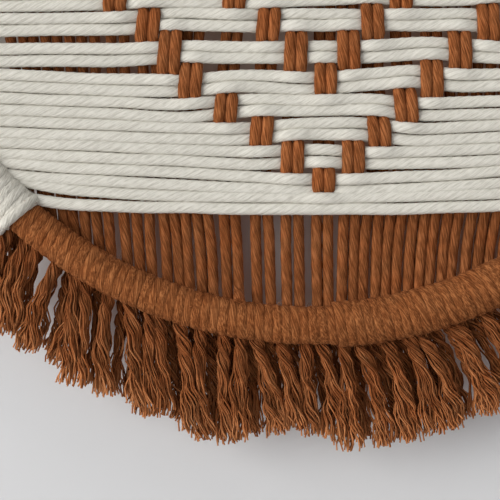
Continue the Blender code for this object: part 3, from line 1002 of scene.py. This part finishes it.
def opened_tail_tree():
    tree = geometry_tree(
        "opened_tail",
        Yarns=27, Rings=20, Yarn_Radius=0.31 * MM, Lay=14.0 * MM, Laid_Radius=1.15 * MM,
        Spread=2.4 * MM, Wave=0.45 * MM, Wave_Length=9.0 * MM, Opens=0.2, Flat=0.7,
        Uneven_Ends=3.0 * MM, Sides=3, Seed=1, Material=None,
    )
    given = tree.given
    seed = given["Seed"]
    tails = tree.note(given["Geometry"], "tail", tree.add("GeometryNodeInputIndex"), "CURVE")
    stepped = tree.add("GeometryNodeResampleCurve", 0, {"mode": "COUNT"}, Curve=tails, Count=given["Rings"])
    stepped = tree.note(stepped, "ahead", tree.add("GeometryNodeInputTangent"))
    copies = tree.add("GeometryNodeDuplicateElements", 0, {"domain": "SPLINE"},
                      Geometry=stepped, Amount=given["Yarns"])
    many = tree.note(copies, "yarn", copies.output("Duplicate Index"), "CURVE")
    tail = tree.noted("tail", "INT")
    yarn = tree.noted("yarn", "INT")
    ahead = tree.noted("ahead", "FLOAT_VECTOR")
    part = tree.spline("Factor")
    length = tree.spline("Length")
    ply = tree.sum("MODULO", yarn, 3.0)
    member = tree.sum("FLOOR", yarn / 3.0)
    own = tail * 97.0 + yarn
    family = tail * 7.0 + ply
    # How far the tail has opened, and where this yarn's ply lies in it.
    opens = given["Opens"] * tree.chance(0.3, 1.7, tail, seed)
    open_now = tree.fade(part, opens, opens + 0.4)
    turning = length / given["Lay"] * math.tau * (1.0 - open_now * 0.35) * -1.0
    ply_angle = turning + ply * (math.tau / 3) + tree.chance(0.0, math.tau, tail, seed + 1)
    ply_side = (ply - 1.0) * tree.chance(0.5, 1.1, family, seed + 2)
    ply_side = ply_side + tree.chance(-0.35, 0.35, family, seed + 3)
    spread = given["Spread"] * tree.fade(part, opens, 1.0)
    ply_across = tree.cos(ply_angle) * given["Laid Radius"] * (1.0 - open_now * 0.5) + ply_side * spread
    ply_deep = tree.sin(ply_angle) * given["Laid Radius"]
    # Where the yarn lies in its ply, and how it waves, splays and ends.
    yarn_angle = member * 2.4 + turning * 0.6 + tree.chance(0.0, 1.4, own, seed + 4)
    yarn_reach = tree.chance(0.3, 0.95, own, seed + 5) * MM * (1.0 + open_now * 0.5)
    crimp = length / (given["Wave Length"] * tree.chance(0.8, 1.25, family, seed + 6)) * math.tau
    crimp = crimp + tree.chance(0.0, math.tau, family, seed + 7) + tree.chance(-0.9, 0.9, own, seed + 8)
    wave = given["Wave"] * open_now
    strays = tree.sum("GREATER_THAN", tree.chance(0.0, 1.0, own, seed + 14), STRAY_SHARE)
    stray = 1.0 + strays * STRAY_FURTHER
    splay = tree.fade(part, 0.55, 1.0) * tree.chance(-1.0, 1.0, own, seed + 9)
    splay = splay * given["Spread"] * 0.55 * stray
    across = ply_across + tree.cos(yarn_angle) * yarn_reach + tree.sin(crimp) * wave + splay
    deep = (ply_deep + tree.sin(yarn_angle) * yarn_reach + tree.cos(crimp) * wave * 0.8) * given["Flat"]
    back = part * tree.chance(0.0, 1.0, own, seed + 10) * given["Uneven Ends"]
    sideways = tree.sum("NORMALIZE", tree.sum("CROSS_PRODUCT", ahead, (0.0, -1.0, 0.0)))
    # All of that moves the yarn off the guide: sideways, in depth and back along it.
    apart = tree.vector(own * 0.7, 0.0, own * 0.3)
    drift = tree.drift(tree.place() * 150.0 + apart) * part * DRIFT_AT_END
    offset = sideways * across + tree.vector(0.0, deep, 0.0) - ahead * back + drift
    moved = tree.move(many, Offset=offset)
    thick = tree.chance(0.7, 1.25, own, seed + 11) * tree.fade(part, 0.9, 1.0, 1.0, 0.7)
    sized = tree.add("GeometryNodeSetCurveRadius", Curve=moved, Radius=thick)
    noted = tree.note(sized, "along", length)
    noted = tree.note(noted, "own", tree.chance(0.0, 1.0, own, seed + 12))
    # Painted light and shade: this crest paints the yarns darker near the hoop, as shade under it, and paler
    # towards and at their ends, over a random tone for each yarn
    ends_painted_light = tree.fade(part, ENDS_PAINTED_FROM, 1.0, 0.0, ENDS_PAINTED_PALER)
    crest = 0.2 + part * 0.5 + ends_painted_light + tree.chance(-0.25, 0.4, own, seed + 13)
    noted = tree.note(noted, "crest", crest)
    ring = tree.add("GeometryNodeCurvePrimitiveCircle", Resolution=given["Sides"],
                    Radius=given["Yarn Radius"])
    ring = tree.note(ring, "around", tree.place())
    skin = tree.add("GeometryNodeCurveToMesh", Curve=noted, Profile__Curve=ring, Fill__Caps=True)
    return end_tree(tree, tree.add("GeometryNodeSetShadeSmooth", Geometry=skin))


opened_tail = opened_tail_tree()
print("opened tail tree:", len(opened_tail.nodes), "nodes")

# %% [markdown]
# The guides of the tails come next. Each starts in the wrapping of the bottom arc, leans as the
# arc and a comb left it, which was to the right on the right side, and hangs straighter towards
# its end. A second row behind the first fills its slits and opens later. Comb and scissors
# leave their marks: the tails part here and there, so that the wall shows between them, and the
# cut line wanders by a few millimetres. Angles are in degrees from straight down.

# %% The tails
TAIL_ROOT_RADIUS = 125.6
FRINGE_HALF_ARC = RUST_HALF_ARC + 1.5
TAIL_POINTS = 9
FIRST_LENGTH = 28.0
CUTTING_ROUNDS = 5
CUT_ANGLES = (-42, -33, -31, -29, -25, -21, -15, -8, -6, -3.5, 0, 2.5, 7, 11, 15, 19, 32, 46)
CUT_RADII = (151.5, 153.3, 154.4, 151.9, 154.6, 154.2, 155.0, 157.4, 157.6, 153.6, 152.4, 156.2, 157.2,
             158.4, 157.8, 156.0, 154.6, 152.6)
LEAN_ANGLES = (-44, -36, -26, -16, -6, 4, 10, 17, 30, 44)
LEANS = (-22, -17, -3, 4, 7, 8, 18, 24, 30, 38)
LEAN_AT_ROOT = 1.2
LEAN_AT_END = 0.7
PARTINGS = {-36.1: 1.2, -34.2: 0.7, -25.8: 0.6, -23.1: 0.45, -15.9: 0.4, -13.2: 0.3, -6.7: 0.4, -1.0: 0.3,
            3.9: 0.2, 6.8: 0.3, 10.0: 0.3, 16.9: 0.15, 24.0: 0.4, 31.0: 0.5, 37.0: 0.4}
PARTING_REACH = 1.9
chance = random.Random(5)


def parted(angle):
    """Moves a tail a little away from the partings beside it."""
    return angle + sum(
        push * math.copysign(1, angle - parting) * math.exp(-(((angle - parting) / PARTING_REACH) ** 2))
        for parting, push in PARTINGS.items()
    )


def tail_line(angle, length, depth, bow, lean_start, lean_end):
    """A tail's middle line, which leaves the hoop at an angle."""
    turn = math.radians(angle)
    across = TAIL_ROOT_RADIUS * math.sin(turn)
    below = TAIL_ROOT_RADIUS * math.cos(turn)
    points = []
    for i in range(TAIL_POINTS):
        part = i / (TAIL_POINTS - 1)
        points.append(place(across, below, depth + bow * smooth_step(part, 0, 0.5)))
        lean = math.radians(lean_start + (lean_end - lean_start) * smooth_step(part, 0.0, 0.9))
        step = length / (TAIL_POINTS - 1)
        across += math.sin(lean) * step
        below += math.cos(lean) * step
    return points


def row_of_tails(count, jitter, shorter, depth, bow, wild):
    """The guides of one layer of tails, evenly spread and then disturbed, cut to one line."""
    lines = []
    for i in range(count):
        middle = -FRINGE_HALF_ARC + 2 * FRINGE_HALF_ARC * (i + 0.5) / count
        angle = parted(middle + chance.uniform(-jitter, jitter) * 2 * FRINGE_HALF_ARC / count)
        lean = smooth_run(angle, LEAN_ANGLES, LEANS)
        shape = (depth, bow + chance.uniform(-0.6, 0.6), lean * LEAN_AT_ROOT + chance.uniform(-wild, wild),
                 lean * LEAN_AT_END + chance.uniform(-wild, wild) * 0.6)
        shorter_by = shorter + chance.uniform(-1.0, 1.4)
        length = FIRST_LENGTH
        for _ in range(CUTTING_ROUNDS):
            line = tail_line(angle, length, *shape)
            across, below = line[-1].x / MM, HOOP_MIDDLE - line[-1].z / MM
            cut = smooth_run(math.degrees(math.atan2(across, below)), CUT_ANGLES, CUT_RADII)
            length += cut - shorter_by - math.hypot(across, below)
        lines.append(line)
    return lines


front_tails = row_of_tails(34, jitter=0.3, shorter=0.0, depth=0.4, bow=-1.6, wild=11)
made_with("fringe_front", guide_curves("front_tails", front_tails), opened_tail,
          Yarns=42, Rings=18, Yarn_Radius=0.265 * MM, Seed=31, Material=rust_yarn)
back_tails = row_of_tails(54, jitter=0.12, shorter=1.6, depth=3.0, bow=0.0, wild=5)
made_with("fringe_back", guide_curves("back_tails", back_tails), opened_tail,
          Yarns=26, Rings=15, Yarn_Radius=0.285 * MM, Opens=0.5, Spread=2.3 * MM,
          Laid_Radius=1.35 * MM, Flat=0.6, Seed=47, Material=rust_yarn)

# %% [markdown]
# ## The hoop itself
# Only the wrapping shows, but the hoop inside it is a real part, so it gets real wood: pale,
# with a fine grain that follows the ring.

# %% The wood of the hoop
GRAIN_A_METRE = 900.0


def wood():
    material, tree = new_material("hoop_wood")
    where = tree.add("ShaderNodeTexCoord", "Object")
    out = tree.sum("LENGTH", where - (0.0, 0.0, HOOP_MIDDLE * MM)).output("Value")
    rings = tree.vector(out * GRAIN_A_METRE, tree.axis(where, "Y") * GRAIN_A_METRE, 0.0)
    grain = tree.noise(rings, 1.0, 4.0)
    colour = tree.mix(grain, tone(176, 138, 92), tone(214, 182, 136))
    bumped = tree.add("ShaderNodeBump", Height=grain, Strength=0.5, Distance=0.1 * MM)
    shader = tree.add("ShaderNodeBsdfPrincipled", Base__Color=colour, Roughness=0.6, Normal=bumped)
    end_material(tree, shader)
    return material


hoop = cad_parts["hoop"]
hoop.data.materials.clear()
hoop.data.materials.append(wood())
print("hoop has", len(hoop.material_slots), "material")

# %% [markdown]
# ## What each piece stands for
# Every piece is fixed to the one body of the hanging, and the table below says which plain
# solid it replaces, which is then hidden.

# %% Ties to the plain model
STAND_FOR = {
    "weft": ("cream_rows_below", "cream_rows_above", "cream_wrap_left", "cream_wrap_right",
             "cream_last_turns"),
    "warp": ("rust_pairs", "rust_wrap_bottom", "rust_wrap_top"),
    "fringe": ("fringe_front", "fringe_back"),
}
for node, names in STAND_FOR.items():
    for name in names:
        piece = bpy.data.objects[name]
        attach(piece, "root")
        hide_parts(node)
print("pieces:", sum(len(names) for names in STAND_FOR.values()))
